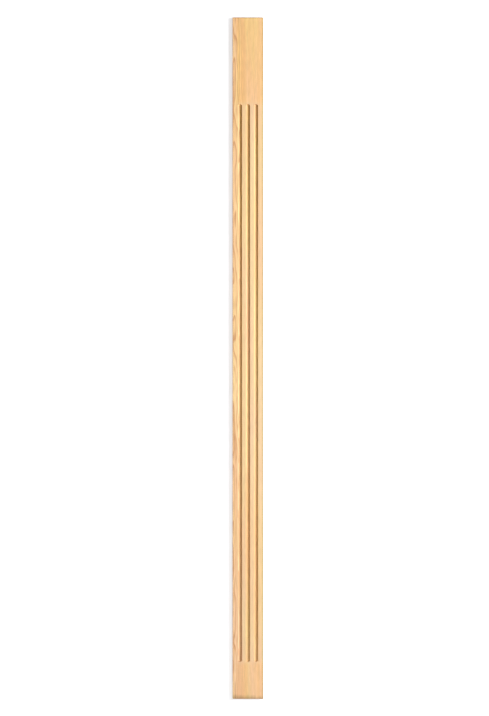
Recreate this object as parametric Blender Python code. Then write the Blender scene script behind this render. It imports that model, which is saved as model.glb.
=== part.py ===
# Fluted pine pilaster: one flat board with a plain head, a plain foot and three
# stopped flutes down its face, made to be fixed to a wall by its flat back.
#
# The board stands along +Z, and its face looks towards -Y. Its back lies on the
# plane y = 0, and the origin is the middle of the back.

from math import cos, pi, radians, sin

import bmesh
import bpy
from mathutils import Vector

# The board, in metres
BOARD_LENGTH = 2.200
BOARD_WIDTH = 0.100
BOARD_THICKNESS = 0.020
EDGE_EASE = 0.0012  # sandpaper takes the sharpness off every edge

# The flutes, cut with a round-nosed bit that stops short of both ends
FLUTE_COUNT = 3
BIT_RADIUS = 0.0065
FLUTE_DEPTH = 0.006
PLAIN_HEAD = 0.280  # from the top of the board to the top of the flutes
PLAIN_FOOT = 0.120  # from the bottom of the board to the bottom of the flutes
PLAIN_SIDE = 0.0176  # from an edge of the board to the nearest flute

# How finely the round forms are faceted
EASE_FACETS = 3
NOSE_FACETS = 8  # from the rim of the bit's round nose to its tip

BIT_CLEARANCE = 0.002  # the bit stands out past the face that it cuts
WELD_DISTANCE = 1e-6

# The face and the back, as places along Y
FACE_Y = -BOARD_THICKNESS
BACK_Y = 0.0


def pine():
    """Pale pine, planed and sanded, with no finish on it."""
    material = bpy.data.materials.new("pine")
    material.use_nodes = True
    shader = material.node_tree.nodes["Principled BSDF"]
    shader.inputs["Base Color"].default_value = (0.80, 0.56, 0.31, 1.0)
    shader.inputs["Roughness"].default_value = 0.6
    shader.inputs["Metallic"].default_value = 0.0
    return material


def mesh_object(name, bm):
    """Turns a bmesh into an object of the scene."""
    mesh = bpy.data.meshes.new(name)
    bm.to_mesh(mesh)
    bm.free()
    thing = bpy.data.objects.new(name, mesh)
    bpy.context.collection.objects.link(thing)
    return thing


def sawn_board():
    """The plain board, before its edges are eased and its flutes are cut."""
    bm = bmesh.new()
    bmesh.ops.create_cube(bm, size=1.0)
    bmesh.ops.scale(bm, vec=(BOARD_WIDTH, BOARD_THICKNESS, BOARD_LENGTH), verts=bm.verts)
    bmesh.ops.translate(bm, vec=(0.0, (FACE_Y + BACK_Y) / 2, 0.0), verts=bm.verts)
    return mesh_object("pilaster_board", bm)


def ease_edges(board):
    """Rounds over all twelve edges."""
    ease = board.modifiers.new("eased_edges", "BEVEL")
    ease.width = EDGE_EASE
    ease.segments = EASE_FACETS
    ease.limit_method = "ANGLE"
    ease.angle_limit = radians(30)


def flute_width():
    """How wide a flute is where it meets the face."""
    above_face = max(BIT_RADIUS - FLUTE_DEPTH, 0.0)
    return 2 * (BIT_RADIUS**2 - above_face**2) ** 0.5


def flute_places():
    """Where the flutes' middle lines lie across the board, evenly spaced between the outer two."""
    if FLUTE_COUNT == 1:
        return [0.0]
    outer = BOARD_WIDTH / 2 - PLAIN_SIDE - flute_width() / 2
    pitch = 2 * outer / (FLUTE_COUNT - 1)
    return [-outer + i * pitch for i in range(FLUTE_COUNT)]


def bit_outline(x, z):
    """Half the outline of the bit at this place, from the rim of its shank to its tip."""
    nose_y = FACE_Y + FLUTE_DEPTH - BIT_RADIUS
    shank_y = min(nose_y, FACE_Y) - BIT_CLEARANCE
    nose = [radians(90) * i / NOSE_FACETS for i in range(NOSE_FACETS + 1)]
    return [Vector((x + BIT_RADIUS, shank_y, z))] + [
        Vector((x + BIT_RADIUS * cos(a), nose_y + BIT_RADIUS * sin(a), z)) for a in nose
    ]


def half_turn(bm, outline, x, z):
    """Spins the outline half a turn about the bit's own axis, and returns where it ends."""
    return bmesh.ops.spin(
        bm, geom=outline, cent=(x, 0.0, z), axis=(0.0, 1.0, 0.0),
        angle=-pi, steps=2 * NOSE_FACETS,
    )["geom_last"]


def straight_run(bm, outline, run):
    """Draws the outline along the board by this much, and returns where it ends."""
    return bmesh.ops.spin(
        bm, geom=outline, axis=(0.0, 1.0, 0.0), dvec=(0.0, 0.0, run), steps=1
    )["geom_last"]


def flute_cutter(number, x):
    """What the bit sweeps out: round at both ends and half round between them."""
    top = BOARD_LENGTH / 2 - PLAIN_HEAD - flute_width() / 2
    bottom = -BOARD_LENGTH / 2 + PLAIN_FOOT + flute_width() / 2
    bm = bmesh.new()
    corners = [bm.verts.new(place) for place in bit_outline(x, top)]
    outline = corners + [bm.edges.new(pair) for pair in zip(corners, corners[1:])]
    outline = half_turn(bm, outline, x, top)
    outline = straight_run(bm, outline, bottom - top)
    outline = half_turn(bm, outline, x, bottom)
    straight_run(bm, outline, top - bottom)
    bmesh.ops.remove_doubles(bm, verts=bm.verts, dist=WELD_DISTANCE)
    bmesh.ops.holes_fill(bm, edges=bm.edges)
    bmesh.ops.recalc_face_normals(bm, faces=bm.faces)
    cutter = mesh_object(f"flute_cutter_{number}", bm)
    cutter.display_type = "WIRE"
    cutter.hide_render = True
    return cutter


def cut_flute(board, cutter):
    """Takes one flute out of the face."""
    cut = board.modifiers.new(cutter.name, "BOOLEAN")
    cut.operation = "DIFFERENCE"
    cut.solver = "EXACT"
    cut.object = cutter


def pilaster_board():
    """The whole pilaster, which is one piece of wood."""
    board = sawn_board()
    board.data.materials.append(pine())
    ease_edges(board)
    for number, x in enumerate(flute_places(), start=1):
        cut_flute(board, flute_cutter(number, x))
    return board


for old in list(bpy.data.objects):
    bpy.data.objects.remove(old, do_unlink=True)
pilaster_board()
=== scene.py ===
from math import atan2, copysign, cos, hypot, pi, radians, sin, sqrt

import bpy
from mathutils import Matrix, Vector


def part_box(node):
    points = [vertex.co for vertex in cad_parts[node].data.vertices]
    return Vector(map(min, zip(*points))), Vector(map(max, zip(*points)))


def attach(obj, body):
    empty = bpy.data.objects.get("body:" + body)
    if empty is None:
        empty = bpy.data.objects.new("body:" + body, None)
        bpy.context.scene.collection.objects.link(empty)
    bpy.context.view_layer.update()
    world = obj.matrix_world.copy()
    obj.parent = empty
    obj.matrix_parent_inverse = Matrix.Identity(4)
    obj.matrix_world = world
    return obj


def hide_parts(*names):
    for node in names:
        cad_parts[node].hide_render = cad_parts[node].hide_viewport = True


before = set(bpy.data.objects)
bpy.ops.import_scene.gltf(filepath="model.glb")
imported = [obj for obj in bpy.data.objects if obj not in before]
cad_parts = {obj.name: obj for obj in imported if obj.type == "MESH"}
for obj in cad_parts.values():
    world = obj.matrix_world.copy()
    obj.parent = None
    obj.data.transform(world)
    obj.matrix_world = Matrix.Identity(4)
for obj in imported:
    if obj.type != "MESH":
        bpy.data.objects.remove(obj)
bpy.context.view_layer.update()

# The board
# The real piece is one length of clear pine, planed flat, sawn square at both ends
# and eased along every edge with sandpaper. It is fixed to a wall by its flat back,
# so its size and its place are those of the CAD board that it stands for.
low, high = (Vector(corner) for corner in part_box("pilaster_board"))
middle = (low + high) / 2
BOARD_SIZE = high - low
FACE_Y = low.y
EDGE_EASE = 0.0012
EASE_STEPS = 4

bpy.ops.object.select_all(action="DESELECT")
bpy.ops.mesh.primitive_cube_add(size=1.0, location=middle, scale=BOARD_SIZE)
board = bpy.context.object
board.name = "fluted_pine_board"
bpy.ops.object.transform_apply(location=True, rotation=True, scale=True)
bpy.ops.object.mode_set(mode="EDIT")
bpy.ops.mesh.select_all(action="SELECT")
bpy.ops.mesh.bevel(offset=EDGE_EASE, segments=EASE_STEPS, affect="EDGES")

# The flutes
# Three half-round grooves are run down the face with a round-nosed bit, which is
# lowered and lifted short of both ends, so a plain head and a plain foot are left.
# Sandpaper has taken the sharpness off their rims.
FLUTE_COUNT = 3
PLAIN_SIDE = 0.0176
PLAIN_HEAD = 0.280
PLAIN_FOOT = 0.120
BIT_RADIUS = 0.0065
FLUTE_DEPTH = 0.006
RIM_EASE = 0.0004
RIM_STEPS = 5
NOSE_STEPS = 14
ROUND_END_STEPS = 16
FLAT_BOTTOM = 0.0002
FACING_FRONT = 0.9
WELD_DISTANCE = 1e-6
SMOOTH_TURN = radians(40)

bit_lift = BIT_RADIUS - FLUTE_DEPTH
flute_half = sqrt(BIT_RADIUS**2 - bit_lift**2)
rim_half = sqrt((BIT_RADIUS + RIM_EASE) ** 2 - (RIM_EASE + bit_lift) ** 2)
rim_turn = atan2(rim_half, RIM_EASE + bit_lift)
flute_top = high.z - PLAIN_HEAD + rim_half - flute_half
flute_bottom = low.z + PLAIN_FOOT - rim_half + flute_half
flute_length = flute_top - flute_bottom
flute_middle = (flute_top + flute_bottom) / 2
outer_flute = BOARD_SIZE.x / 2 - PLAIN_SIDE - flute_half
flute_places = [outer_flute * (2 * i / (FLUTE_COUNT - 1) - 1) for i in range(FLUTE_COUNT)]


def select_faces(piece, wanted):
    """Starts editing the piece with only the faces that the test picks."""
    bpy.ops.object.mode_set(mode="EDIT")
    bpy.ops.mesh.select_mode(type="FACE")
    bpy.ops.mesh.select_all(action="DESELECT")
    bpy.ops.object.mode_set(mode="OBJECT")
    for face in piece.data.polygons:
        face.select = wanted(face)
    bpy.ops.object.mode_set(mode="EDIT")


def select_edges(piece, wanted):
    """Starts editing the piece with only the edges whose ends both pass the test."""
    bpy.ops.object.mode_set(mode="EDIT")
    bpy.ops.mesh.select_mode(type="EDGE")
    bpy.ops.mesh.select_all(action="DESELECT")
    bpy.ops.object.mode_set(mode="OBJECT")
    for edge in piece.data.edges:
        edge.select = all(wanted(piece.data.vertices[i].co) for i in edge.vertices)
    bpy.ops.object.mode_set(mode="EDIT")


def is_board_face(face):
    """Whether this is the broad face that looks forward."""
    return face.normal.y < -FACING_FRONT and face.area > BOARD_SIZE.x * BOARD_SIZE.z / 2


def flute_section():
    """Half a flute's section from rim to bottom, as depths at distances from its middle line."""
    rim = [rim_turn * i / RIM_STEPS for i in range(RIM_STEPS)]
    nose = [rim_turn * (1 - i / NOSE_STEPS) for i in range(NOSE_STEPS)]
    section = [(rim_half - RIM_EASE * sin(a), RIM_EASE * (1 - cos(a))) for a in rim]
    section += [(BIT_RADIUS * sin(a), BIT_RADIUS * cos(a) - bit_lift) for a in nose]
    return section + [(FLAT_BOTTOM, FLUTE_DEPTH)]


select_faces(board, is_board_face)
bpy.ops.mesh.delete(type="ONLY_FACE")
bpy.ops.mesh.select_mode(type="VERT")
for x in flute_places:
    centre = (x, FACE_Y, flute_middle)
    bpy.ops.mesh.select_all(action="DESELECT")
    bpy.ops.mesh.primitive_plane_add(size=1.0, location=centre, rotation=(radians(90), 0.0, 0.0))
    bpy.ops.transform.resize(value=(2 * rim_half, 1.0, flute_length), center_override=centre)
    bpy.ops.mesh.bevel(
        offset=rim_half, segments=ROUND_END_STEPS, affect="VERTICES", clamp_overlap=False
    )
bpy.ops.mesh.select_all(action="SELECT")
bpy.ops.mesh.remove_doubles(threshold=WELD_DISTANCE)
select_edges(board, lambda end: abs(end.y - FACE_Y) < WELD_DISTANCE)
bpy.ops.mesh.fill(use_beauty=True)
select_faces(board, lambda face: len(face.vertices) > 4 * ROUND_END_STEPS)
section = flute_section()
for (wide, shallow), (narrow, deep) in zip(section, section[1:]):
    bpy.ops.mesh.inset(thickness=wide - narrow, depth=shallow - deep)
bpy.ops.mesh.select_all(action="SELECT")
bpy.ops.mesh.normals_make_consistent(inside=False)
bpy.ops.object.mode_set(mode="OBJECT")
bpy.ops.object.shade_smooth_by_angle(angle=SMOOTH_TURN)
bpy.ops.object.modifier_add(type="WEIGHTED_NORMAL")
board.modifiers[-1].keep_sharp = True
bpy.ops.object.modifier_apply(modifier=board.modifiers[-1].name)

# The board laid flat
# Like a sheet of veneer, the face, both edges and the back unroll into one map, which
# is slit along a back corner, and the two sawn ends lie side by side below it.
SHEET_FOOT = 0.05
ENDS_TOP = 0.045
MAP_MARGIN = 0.004
MOST_END_LEAN = radians(45)

flute_gain = FLAT_BOTTOM - rim_half + sum(
    hypot(wide - narrow, deep - shallow)
    for (wide, shallow), (narrow, deep) in zip(section, section[1:])
)
half_face = BOARD_SIZE.x / 2 + FLUTE_COUNT * flute_gain
girth = 2 * half_face + 2 * BOARD_SIZE.y + BOARD_SIZE.x


def pressed_out(x):
    """How far from the middle line a place lies once the flutes beside it are pressed flat."""
    shares = [max(-1.0, min(1.0, (x - flute) / rim_half)) for flute in flute_places]
    return x + flute_gain * sum(shares)


def on_the_face(place):
    """How far from the middle line a place on the face or in a flute lies, pressed flat."""
    flute = min(flute_places, key=lambda x: abs(place.x - x))
    aside = place.x - flute
    past_end = max(place.z - flute_top + rim_half, flute_bottom + rim_half - place.z, 0.0)
    reach = hypot(aside, past_end) / rim_half
    if reach > 1.0:
        return pressed_out(place.x)
    return pressed_out(flute) + aside * (1 + reach**3 * flute_gain / rim_half)


def around_the_board(place, on_back):
    """How far round the board a place is from the face's middle line, where left is negative."""
    deep = place.y - FACE_Y
    inward = BOARD_SIZE.x / 2 - abs(place.x)
    if on_back:
        return half_face + deep + BOARD_SIZE.x / 2 - place.x
    if inward > EDGE_EASE:
        return on_the_face(place)
    past_corner = inward if deep > BOARD_SIZE.y / 2 else -inward
    return copysign(half_face + deep + past_corner, place.x)


def laid_flat(place, normal, at_end):
    """Where on the map a place goes."""
    if at_end:
        across = (place.x - low.x) / BOARD_SIZE.x
        u = (MAP_MARGIN + across * (1 - 2 * MAP_MARGIN) + (normal.z < 0)) / 2
        return u, MAP_MARGIN + (place.y - low.y) / BOARD_SIZE.y * (ENDS_TOP - MAP_MARGIN)
    on_back = normal.y > abs(normal.x)
    share = (around_the_board(place, on_back) + half_face + BOARD_SIZE.y) / girth
    rise_up = (place.z - low.z) / BOARD_SIZE.z
    return (
        MAP_MARGIN + share * (1 - 2 * MAP_MARGIN),
        SHEET_FOOT + rise_up * (1 - MAP_MARGIN - SHEET_FOOT),
    )


sheet = board.data.uv_layers.active
sheet.name = "OFBake"
for face in board.data.polygons:
    from_end = min(high.z - face.center.z, face.center.z - low.z)
    at_end = from_end < EDGE_EASE and abs(face.normal.z) > cos(MOST_END_LEAN)
    for corner in face.loop_indices:
        place = board.data.vertices[board.data.loops[corner].vertex_index].co
        sheet.uv[corner].vector = laid_flat(place, face.normal, at_end)

# The pine
# The board was sawn beside the heart of the log, so the yearly rings lie almost flat
# along its left edge, where they make long flames, and run as fine straight lines
# over the rest. It is planed and sanded, with no oil or varnish on it.
HEART = (-0.046, 0.012, 0.0)
HEART_LEAN = (radians(0.5), radians(-0.2), 0.0)
HEART_WANDER = 0.005
HEART_BENDS = (0.0, 0.0, 2.2)
RING_WAVES = 0.010
RING_WAVES_GRAIN = (48.0, 48.0, 7.0)
WAVY_REACH = (0.034, 0.050)
WAVES_CALMED = 0.85
YEARS_TO_ONE_METRE = 660.0
YEARS_TIGHTEN = 1.15
UNEVEN_GROWTH = 90.0
UNEVEN_YEARS = 2.0
SPRING_ENDS = 0.30
SUMMER_ENDS = 0.87
EARLY_SUMMER = (0.62, 0.40)
WINTER = (0.98, 0.05)
YEARS_DIFFER = 0.2
CALM_REACH = (0.036, 0.060)
RINGS_CALMED = 0.5


def put(tree, kind, inputs, **settings):
    """Adds a node, and fills its sockets with numbers or with what other nodes give."""
    node = tree.nodes.new("ShaderNode" + kind)
    for name, value in settings.items():
        setattr(node, name, value)
    for socket, value in inputs.items():
        if isinstance(value, bpy.types.NodeSocket):
            tree.links.new(value, node.inputs[socket])
        else:
            node.inputs[socket].default_value = value
    return node


def reckon(tree, operation, *values):
    """Does one sum."""
    return put(tree, "Math", dict(enumerate(values)), operation=operation).outputs["Value"]


def reckon_places(tree, operation, *places):
    """Does one sum on places, for all three directions at once."""
    return put(tree, "VectorMath", dict(enumerate(places)), operation=operation).outputs["Vector"]


def either_side(tree, noise):
    """The noise as swings to either side of zero."""
    return reckon(tree, "SUBTRACT", noise, 0.5)


def rise(tree, value, start, end):
    """A mask that climbs smoothly from 0 at the start to 1 at the end."""
    inputs = {"Value": value, "From Min": start, "From Max": end}
    return put(tree, "MapRange", inputs, interpolation_type="SMOOTHSTEP").outputs["Result"]


def grain(tree, place, scale, shift=(0.0, 0.0, 0.0), detail=2.0):
    """Noise drawn out along the board, finer where the scale is larger, about 0.5."""
    drawn = put(tree, "Mapping", {"Vector": place, "Scale": scale, "Location": shift})
    inputs = {"Vector": drawn.outputs["Vector"], "Scale": 1.0, "Detail": detail}
    return put(tree, "TexNoise", inputs).outputs


def from_the_heart(tree, place):
    """How far each bit of wood grew from the heart of the log, which wanders and leans a little."""
    bends = grain(tree, place, HEART_BENDS, detail=0.0)["Color"]
    centred = reckon_places(tree, "SUBTRACT", bends, (0.5, 0.5, 0.5))
    wander = reckon_places(tree, "MULTIPLY", centred, (HEART_WANDER, HEART_WANDER, HEART_WANDER))
    moved = reckon_places(tree, "ADD", place, wander)
    settled = reckon_places(tree, "SUBTRACT", moved, HEART)
    upright = put(tree, "Mapping", {"Vector": settled, "Rotation": HEART_LEAN}).outputs["Vector"]
    across = reckon_places(tree, "MULTIPLY", upright, (1.0, 1.0, 0.0))
    straight = put(tree, "VectorMath", {0: across}, operation="LENGTH").outputs["Value"]
    waves = grain(tree, place, RING_WAVES_GRAIN, detail=1.0)["Fac"]
    swings = reckon(tree, "MULTIPLY", either_side(tree, waves), RING_WAVES)
    calm = rise(tree, straight, *WAVY_REACH)
    damping = reckon(tree, "MULTIPLY_ADD", calm, -WAVES_CALMED, 1.0)
    return reckon(tree, "MULTIPLY_ADD", swings, damping, straight)


def summer_wood(tree, heart_distance):
    """White where a year's growth is dense, which builds up slowly and stops short at winter,
    and a number for how good each year was."""
    uneven = put(tree, "TexNoise", {"W": heart_distance, "Scale": UNEVEN_GROWTH}, noise_dimensions="1D")
    tightened = reckon(tree, "POWER", heart_distance, YEARS_TIGHTEN)
    years = reckon(tree, "MULTIPLY", tightened, YEARS_TO_ONE_METRE)
    years = reckon(tree, "MULTIPLY_ADD", uneven.outputs["Fac"], UNEVEN_YEARS, years)
    ramp = put(tree, "ValToRGB", {"Fac": reckon(tree, "FRACT", years)})
    stops = ramp.color_ramp.elements
    stops[0].position = SPRING_ENDS
    stops[1].position = SUMMER_ENDS
    for season, shade in (EARLY_SUMMER, WINTER):
        stops.new(season).color = (shade, shade, shade, 1.0)
    number = reckon(tree, "FLOOR", years)
    good_year = put(tree, "TexWhiteNoise", {"W": number}, noise_dimensions="1D").outputs["Value"]
    strength = reckon(tree, "MULTIPLY_ADD", good_year, YEARS_DIFFER, 1 - YEARS_DIFFER)
    calm = rise(tree, heart_distance, *CALM_REACH)
    damping = reckon(tree, "MULTIPLY_ADD", calm, -RINGS_CALMED, 1.0)
    strength = reckon(tree, "MULTIPLY", strength, damping)
    return reckon(tree, "MULTIPLY", ramp.outputs["Color"], strength), good_year


STRAW_WOOD = (0.78, 0.585, 0.30, 1.0)
ROSY_WOOD = (0.785, 0.50, 0.315, 1.0)
PATCHES_GRAIN = (26.0, 26.0, 2.0)
PATCHES_SHIFT = (20.0, 5.4, 20.5)
STRAW_TO_ROSY = (0.40, 0.60)
SAP_WOOD = (0.765, 0.54, 0.30, 1.0)
SAP_SHARE = 0.3
HONEY = (1.0, 0.96, 0.78, 1.0)
HONEY_GRAIN = (15.0, 15.0, 1.3)
HONEY_SHIFT = (28.6, 21.7, 11.5)
PALE_TO_HONEY = (0.35, 0.65)
WARM_YEAR = (0.97, 0.93, 0.86, 1.0)
COOL_TO_WARM = (0.9, 0.2)
ROSY_REACH = (0.046, 0.026)
ROSY_SHARE = 0.4
SUMMER_WOOD = (0.525, 0.25, 0.105, 1.0)
STREAKS_GRAIN = (280.0, 280.0, 36.0)
STREAKS_SHIFT = (3.1, 0.0, 0.0)
STREAKS_DEPTH = 0.34
FIBRES_GRAIN = (1800.0, 1800.0, 35.0)
FIBRES_DEPTH = 0.14
RESIN_BROWN = (0.36, 0.20, 0.10, 1.0)
PORES_GRAIN = (1400.0, 1400.0, 90.0)
PORES_SHIFT = (0.0, 2.0, 5.0)
PORE_RIM = (0.74, 0.80)


def colour_over(tree, mask, under, over, how="MIX"):
    """Lays one colour over another where the mask is white."""
    # The node's two colours go in at sockets 6 and 7, and what they make comes out at 2.
    inputs = {"Factor": mask, 6: under, 7: over}
    return put(tree, "Mix", inputs, data_type="RGBA", blend_type=how).outputs[2]


def grown_colour(tree, place, heart_distance, summer, year, fibres):
    """The colour that the wood grew with: straw and rose in long patches, under a honey tone
    that comes and goes, rosier by the heart, brown where it grew in summer, and drawn with
    short streaks and fine fibres."""
    patches = grain(tree, place, PATCHES_GRAIN, PATCHES_SHIFT)["Fac"]
    colour = colour_over(tree, rise(tree, patches, *STRAW_TO_ROSY), STRAW_WOOD, ROSY_WOOD)
    colour = colour_over(tree, SAP_SHARE, colour, SAP_WOOD)
    honey = grain(tree, place, HONEY_GRAIN, HONEY_SHIFT)["Fac"]
    colour = colour_over(tree, rise(tree, honey, *PALE_TO_HONEY), colour, HONEY, "MULTIPLY")
    colour = colour_over(tree, rise(tree, year, *COOL_TO_WARM), colour, WARM_YEAR, "MULTIPLY")
    by_the_heart = reckon(tree, "MULTIPLY", rise(tree, heart_distance, *ROSY_REACH), ROSY_SHARE)
    colour = colour_over(tree, by_the_heart, colour, ROSY_WOOD)
    colour = colour_over(tree, summer, colour, SUMMER_WOOD)
    streaks = grain(tree, place, STREAKS_GRAIN, STREAKS_SHIFT)["Fac"]
    shade = reckon(tree, "MULTIPLY_ADD", either_side(tree, streaks), STREAKS_DEPTH, 1.0)
    shade = reckon(tree, "MULTIPLY_ADD", either_side(tree, fibres), FIBRES_DEPTH, shade)
    return colour_over(tree, 1.0, colour, shade, "MULTIPLY")


def resin_canals(tree, place, summer):
    """A mask for the thin brown canals, which lie in the summer wood."""
    pores = grain(tree, place, PORES_GRAIN, PORES_SHIFT, 0.0)["Fac"]
    return reckon(tree, "MULTIPLY", rise(tree, pores, *PORE_RIM), summer)


SANDED_PALE = (0.69, 0.54, 0.35, 1.0)
SANDED_SHARE = 0.35
SANDING_FADE = 0.015
GINGER = (1.0, 0.955, 0.87, 1.0)
GINGER_REACH = (0.062, 0.042)
GINGER_START = (-0.042, -0.030)
PLANED_EDGE = (0.86, 0.83, 0.82, 1.0)
PLANED_START = EDGE_EASE / 4
PLANED_FULL = EDGE_EASE / 16
END_GRAIN = (0.72, 0.62, 0.50, 1.0)
END_TURN = (0.55, 0.9)
END_START = 0.003
END_FULL = 0.001
# Painted shade: the side of each flute that faces away from the key light is darkened, most near the
# top.
PAINTED_FLUTE_SHADE = (0.64, 0.57, 0.30, 1.0)
FLUTE_SHADE_TURN = (0.6, -0.6)
FLUTE_SHADE_REACH = 0.65
LEAST_FLUTE_SHADE = 0.45
# A darker tone near both ends of each flute.
DARKER_FLUTE_ENDS = (0.55, 0.40, 0.28, 1.0)
DARKER_ENDS_REACH = 0.005
CLEAN_RIM = 0.001
BELOW_FLUTES = 1.1 * FLUTE_DEPTH


def sanding(tree, where):
    """Two masks for the face: the lands, which sandpaper rubs paler, and the plain ends."""
    on_face = rise(tree, where["Y"], FACE_Y + EDGE_EASE, FACE_Y)
    from_middle = reckon(tree, "ABSOLUTE", reckon(tree, "SUBTRACT", where["Z"], flute_middle))
    run = flute_length / 2
    along = rise(tree, from_middle, run + SANDING_FADE, run - SANDING_FADE)
    across = rise(tree, where["X"], flute_places[0] - SANDING_FADE, flute_places[0])
    lands = reckon(tree, "MULTIPLY", reckon(tree, "MULTIPLY", along, across), on_face)
    ends = reckon(tree, "MULTIPLY", reckon(tree, "SUBTRACT", 1.0, along), on_face)
    return reckon(tree, "MULTIPLY", lands, SANDED_SHARE), ends


def flute_shade_and_dark_ends(tree, where, normal):
    """Two masks for the flutes: painted shade on the side that faces away from the key light,
    strongest near the top, and a darker tone near both ends of each flute."""
    depth = rise(tree, where["Y"], FACE_Y + CLEAN_RIM, FACE_Y + FLUTE_DEPTH)
    above_back = reckon(tree, "LESS_THAN", where["Y"], FACE_Y + BELOW_FLUTES)
    from_middle = reckon(tree, "ABSOLUTE", where["X"])
    beside = reckon(tree, "LESS_THAN", from_middle, outer_flute + rim_half)
    inside = reckon(tree, "MULTIPLY", reckon(tree, "MULTIPLY", above_back, beside), depth)
    below_top = reckon(tree, "SUBTRACT", flute_top, where["Z"])
    above_bottom = reckon(tree, "SUBTRACT", where["Z"], flute_bottom)
    from_end = reckon(tree, "MINIMUM", below_top, above_bottom)
    inside = reckon(tree, "MULTIPLY", inside, reckon(tree, "GREATER_THAN", from_end, 0.0))
    # Darker near both ends of each flute.
    darker_ends = rise(tree, from_end, DARKER_ENDS_REACH, DARKER_ENDS_REACH / 3)
    # Painted shade on the flute walls that face away from the key light, most near the top.
    shaded_side = reckon(tree, "MULTIPLY", inside, rise(tree, normal["X"], *FLUTE_SHADE_TURN))
    near_top = rise(tree, below_top, FLUTE_SHADE_REACH, 0.0)
    flute_shade = reckon(tree, "MULTIPLY_ADD", near_top, 1 - LEAST_FLUTE_SHADE, LEAST_FLUTE_SHADE)
    return reckon(tree, "MULTIPLY", shaded_side, flute_shade), reckon(tree, "MULTIPLY", inside, darker_ends)


def sawn_end(tree, where, normal):
    """A mask for the two ends, where the grain is cut across."""
    turned = rise(tree, reckon(tree, "ABSOLUTE", normal["Z"]), *END_TURN)
    at_end = rise(tree, reckon(tree, "ABSOLUTE", where["Z"]), high.z - END_START, high.z - END_FULL)
    return reckon(tree, "MULTIPLY", turned, at_end)


def worked_and_shaded_colour(tree, colour, where, normal, heart_distance, end):
    """Lays over it what the tools left: a ginger tone on the plain ends, paler sanded lands,
    duller planed edges and darker sawn ends; then painted shade on one side of each flute and a darker
    tone near the flute ends."""
    sanded, plain_ends = sanding(tree, where)
    ginger = reckon(tree, "MULTIPLY", rise(tree, heart_distance, *GINGER_REACH), plain_ends)
    ginger = reckon(tree, "MULTIPLY", ginger, rise(tree, where["X"], *GINGER_START))
    colour = colour_over(tree, ginger, colour, GINGER, "MULTIPLY")
    colour = colour_over(tree, sanded, colour, SANDED_PALE)
    from_middle = reckon(tree, "ABSOLUTE", where["X"])
    planed_only = rise(tree, from_middle, high.x - PLANED_START, high.x - PLANED_FULL)
    colour = colour_over(tree, planed_only, colour, PLANED_EDGE, "MULTIPLY")
    colour = colour_over(tree, end, colour, END_GRAIN, "MULTIPLY")
    flute_shade, darker_ends = flute_shade_and_dark_ends(tree, where, normal)
    # Painted shade on the side of each flute that lies away from the light.
    colour = colour_over(tree, flute_shade, colour, PAINTED_FLUTE_SHADE, "MULTIPLY")
    # A darker tone near both ends of each flute.
    return colour_over(tree, darker_ends, colour, DARKER_FLUTE_ENDS, "MULTIPLY")


HANDLED = (0.76, 0.74, 0.68, 1.0)
WORN_WIDTH = 0.0052
WORN_FADE = 0.0015
WEAR_LEAN = 0.001
PATCHY_GRAIN = (90.0, 90.0, 12.0)
PATCHY_SHIFT = (1.0, 4.0, 2.0)
RUBBED_UNEVENLY = 0.003
# The foot is darker over its lowest centimetre or two, more on the left.
DARKER_FOOT = (0.66, 0.66, 0.60, 1.0)
DARKER_FOOT_REACH = 0.016
DARKER_FOOT_LEAN = 0.07


def edge_gap(tree, place):
    """How far a bit of the surface lies from the nearest edge, and a little less on the right."""
    lean = Vector((WEAR_LEAN, 0.0, 0.0))
    offset = reckon_places(tree, "SUBTRACT", place, tuple(middle - lean))
    size = reckon_places(tree, "ABSOLUTE", offset)
    gaps = reckon_places(tree, "SUBTRACT", tuple(BOARD_SIZE / 2), size)
    across, deep, along = put(tree, "SeparateXYZ", {"Vector": gaps}).outputs
    nearer = reckon(tree, "MINIMUM", across, deep)
    farther = reckon(tree, "MAXIMUM", across, deep)
    return reckon(tree, "MAXIMUM", nearer, reckon(tree, "MINIMUM", farther, along))


def worn_and_darker_foot_colour(tree, colour, place, where):
    """Lays the wear over it: hands have rubbed every edge a little dull, the right one most,
    and the wood grows darker towards the foot, most on the left."""
    patchy = grain(tree, place, PATCHY_GRAIN, PATCHY_SHIFT, 3.0)["Fac"]
    worn_gap = reckon(tree, "MULTIPLY_ADD", patchy, -RUBBED_UNEVENLY, edge_gap(tree, place))
    worn = rise(tree, worn_gap, WORN_WIDTH - WORN_FADE, -WORN_FADE)
    colour = colour_over(tree, worn, colour, HANDLED, "MULTIPLY")
    from_the_foot = reckon(tree, "MULTIPLY_ADD", patchy, -DARKER_FOOT_REACH, where["Z"])
    from_the_foot = reckon(tree, "MULTIPLY_ADD", where["X"], DARKER_FOOT_LEAN, from_the_foot)
    # Darker towards the foot, more on the left.
    foot_darkening = rise(tree, from_the_foot, low.z + DARKER_FOOT_REACH / 2, low.z - DARKER_FOOT_REACH / 2)
    return colour_over(tree, foot_darkening, colour, DARKER_FOOT, "MULTIPLY")


PLANER_PITCH = 0.0017
RELIEF = 0.00005
RIPPLES_RISE = 0.06
SUMMER_RISES = 0.5
FIBRES_RISE = 0.6
CANALS_SINK = 0.8
ROUGHNESS = 0.62
SUMMER_SMOOTHER = 0.15
END_ROUGHER = 0.15
FIBRES_ROUGHER = 0.12
GLOSS = 0.4
WOOD_IOR = 1.45


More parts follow.
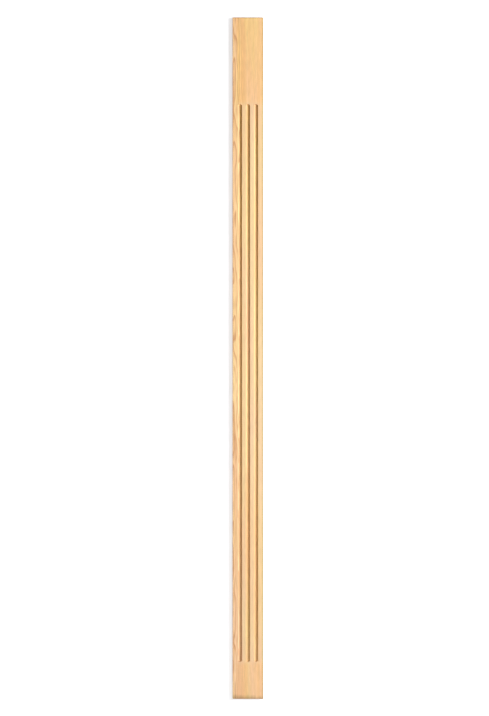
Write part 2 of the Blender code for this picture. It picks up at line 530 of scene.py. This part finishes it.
def pine(name):
    """Planed and sanded pine, from the growth of the log to the wear of the finished board, with
    painted shade in its flutes. Its summer wood stands a hair proud, and the planer has left faint
    ripples across it."""
    material = bpy.data.materials.new(name)
    material.use_nodes = True
    tree = material.node_tree
    surface = put(tree, "TexCoord", {}).outputs
    place = surface["Object"]
    where = put(tree, "SeparateXYZ", {"Vector": place}).outputs
    normal = put(tree, "SeparateXYZ", {"Vector": surface["Normal"]}).outputs

    heart_distance = from_the_heart(tree, place)
    summer, year = summer_wood(tree, heart_distance)
    fibres = grain(tree, place, FIBRES_GRAIN)["Fac"]
    canals = resin_canals(tree, place, summer)
    end = sawn_end(tree, where, normal)
    colour = grown_colour(tree, place, heart_distance, summer, year, fibres)
    colour = colour_over(tree, canals, colour, RESIN_BROWN)
    colour = worked_and_shaded_colour(tree, colour, where, normal, heart_distance, end)
    colour = worn_and_darker_foot_colour(tree, colour, place, where)

    ripple = reckon(tree, "SINE", reckon(tree, "MULTIPLY", where["Z"], 2 * pi / PLANER_PITCH))
    summer_height = reckon(tree, "MULTIPLY", summer, SUMMER_RISES)
    height = reckon(tree, "MULTIPLY_ADD", ripple, RIPPLES_RISE, summer_height)
    height = reckon(tree, "MULTIPLY_ADD", fibres, FIBRES_RISE, height)
    height = reckon(tree, "MULTIPLY_ADD", canals, -CANALS_SINK, height)
    bump = put(tree, "Bump", {"Height": height, "Strength": 1.0, "Distance": RELIEF})
    roughness = reckon(tree, "MULTIPLY_ADD", summer, -SUMMER_SMOOTHER, ROUGHNESS)
    roughness = reckon(tree, "MULTIPLY_ADD", end, END_ROUGHER, roughness)
    roughness = reckon(tree, "MULTIPLY_ADD", either_side(tree, fibres), FIBRES_ROUGHER, roughness)

    shader = tree.nodes["Principled BSDF"]
    shader.inputs["IOR"].default_value = WOOD_IOR
    shader.inputs["Specular IOR Level"].default_value = GLOSS
    tree.links.new(colour, shader.inputs["Base Color"])
    tree.links.new(roughness, shader.inputs["Roughness"])
    tree.links.new(bump.outputs["Normal"], shader.inputs["Normal"])
    return material


board.data.materials.append(pine("planed_pine"))
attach(board, "root")
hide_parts("pilaster_board")

# The wall and the floor
# The board hangs on a plain white wall over a plain white floor. Both are stage, and
# both show only from their fronts, so the views from behind see the board.
WALL_GAP = 0.0005
WALL_SIZE = 6.0
WALL_WHITE = (0.71, 0.735, 0.78, 1.0)
FLOOR_DROP = 0.12
FLOOR_SIZE = 60.0
FLOOR_WHITE = (0.6, 0.6, 0.6, 1.0)
PAINT_ROUGHNESS = 0.9


def one_sided_white(name, colour, glow, shine):
    """White paint, clear from behind. Its glow lights the board, and only the camera sees its shine."""
    material = bpy.data.materials.new(name)
    material.use_nodes = True
    tree = material.node_tree
    paint = tree.nodes["Principled BSDF"]
    paint.inputs["Base Color"].default_value = colour
    paint.inputs["Roughness"].default_value = PAINT_ROUGHNESS
    paint.inputs["Emission Color"].default_value = (1.0, 1.0, 1.0, 1.0)
    seen_by_camera = put(tree, "LightPath", {}).outputs["Is Camera Ray"]
    strength = reckon(tree, "MULTIPLY_ADD", seen_by_camera, shine, glow)
    tree.links.new(strength, paint.inputs["Emission Strength"])
    clear = put(tree, "BsdfTransparent", {})
    side = put(tree, "NewGeometry", {})
    seen = {"Fac": side.outputs["Backfacing"], 1: paint.outputs["BSDF"], 2: clear.outputs["BSDF"]}
    mix = put(tree, "MixShader", seen)
    tree.links.new(mix.outputs["Shader"], tree.nodes["Material Output"].inputs["Surface"])
    return material


bpy.ops.object.select_all(action="DESELECT")
bpy.ops.mesh.primitive_plane_add(
    size=WALL_SIZE, location=(0.0, high.y + WALL_GAP, 0.0), rotation=(radians(90), 0.0, 0.0)
)
wall = bpy.context.object
wall.name = "white_wall"
wall.data.materials.append(one_sided_white("wall_paint", WALL_WHITE, glow=0.3, shine=0.33))
wall.visible_glossy = False
wall.visible_shadow = False

bpy.ops.mesh.primitive_plane_add(size=FLOOR_SIZE, location=(0.0, 0.0, low.z - FLOOR_DROP))
floor = bpy.context.object
floor.name = "white_floor"
floor.data.materials.append(one_sided_white("floor_paint", FLOOR_WHITE, glow=0.0, shine=0.9))

# The light
# A broad soft box stands to the right, a weak one throws light up as a pale floor
# does, a third lights the back, and the white room fills in the rest.
ROOM_LIGHT = 0.04


def soft_box(name, aim, turn, climb, distance, size, power):
    """A soft box that looks at this height on the board, from this way and this far off."""
    way = Vector((sin(turn) * cos(climb), -cos(turn) * cos(climb), sin(climb)))
    bpy.ops.object.light_add(type="AREA", location=way * distance + Vector((0.0, 0.0, aim)))
    light = bpy.context.object
    light.name = name
    light.data.shape = "RECTANGLE"
    light.data.size, light.data.size_y = size
    light.data.energy = power
    light.rotation_euler = way.to_track_quat("Z", "Y").to_euler()


soft_box(
    "key_soft_box", aim=0.3, turn=radians(46), climb=radians(5),
    distance=4.0, size=(2.9, 2.0), power=270.0,
)
soft_box(
    "floor_bounce", aim=-0.75, turn=radians(5), climb=radians(-30),
    distance=1.6, size=(1.6, 1.0), power=5.0,
)
soft_box(
    "back_soft_box", aim=-0.1, turn=radians(-150), climb=radians(5),
    distance=4.5, size=(2.4, 2.6), power=140.0,
)

world = bpy.data.worlds.new("white_room")
bpy.context.scene.world = world
world.use_nodes = True
seen_by_camera = put(world.node_tree, "LightPath", {}).outputs["Is Camera Ray"]
room = world.node_tree.nodes["Background"].inputs
room["Color"].default_value = (1.0, 1.0, 1.0, 1.0)
room_light = reckon(world.node_tree, "MAXIMUM", seen_by_camera, ROOM_LIGHT)
world.node_tree.links.new(room_light, room["Strength"])
bpy.context.scene.view_settings.view_transform = "Standard"

# The camera
# The photograph looks straight at the face through a long lens, with the board a
# little to the right of the picture's middle. The lens spans the picture's height.
PICTURE_HEIGHT_PX = 716
PICTURE_WIDTH_PX = 489
BOARD_HEIGHT_PX = 681.65
BOARD_CENTRE_PX = (247.95, 358.2)
CAMERA_DISTANCE = 14.0
FARTHEST_SEEN = 100.0

metres_per_pixel = BOARD_SIZE.z / BOARD_HEIGHT_PX
aside = (PICTURE_WIDTH_PX / 2 - BOARD_CENTRE_PX[0]) * metres_per_pixel
above = (BOARD_CENTRE_PX[1] - PICTURE_HEIGHT_PX / 2) * metres_per_pixel
picture_height = PICTURE_HEIGHT_PX * metres_per_pixel
bpy.ops.object.camera_add(
    location=(aside, FACE_Y - CAMERA_DISTANCE, above), rotation=(radians(90), 0.0, 0.0)
)
camera = bpy.context.object
camera.name = "camera"
camera.data.lens = camera.data.sensor_width * CAMERA_DISTANCE / picture_height
camera.data.clip_end = FARTHEST_SEEN
bpy.context.scene.camera = camera
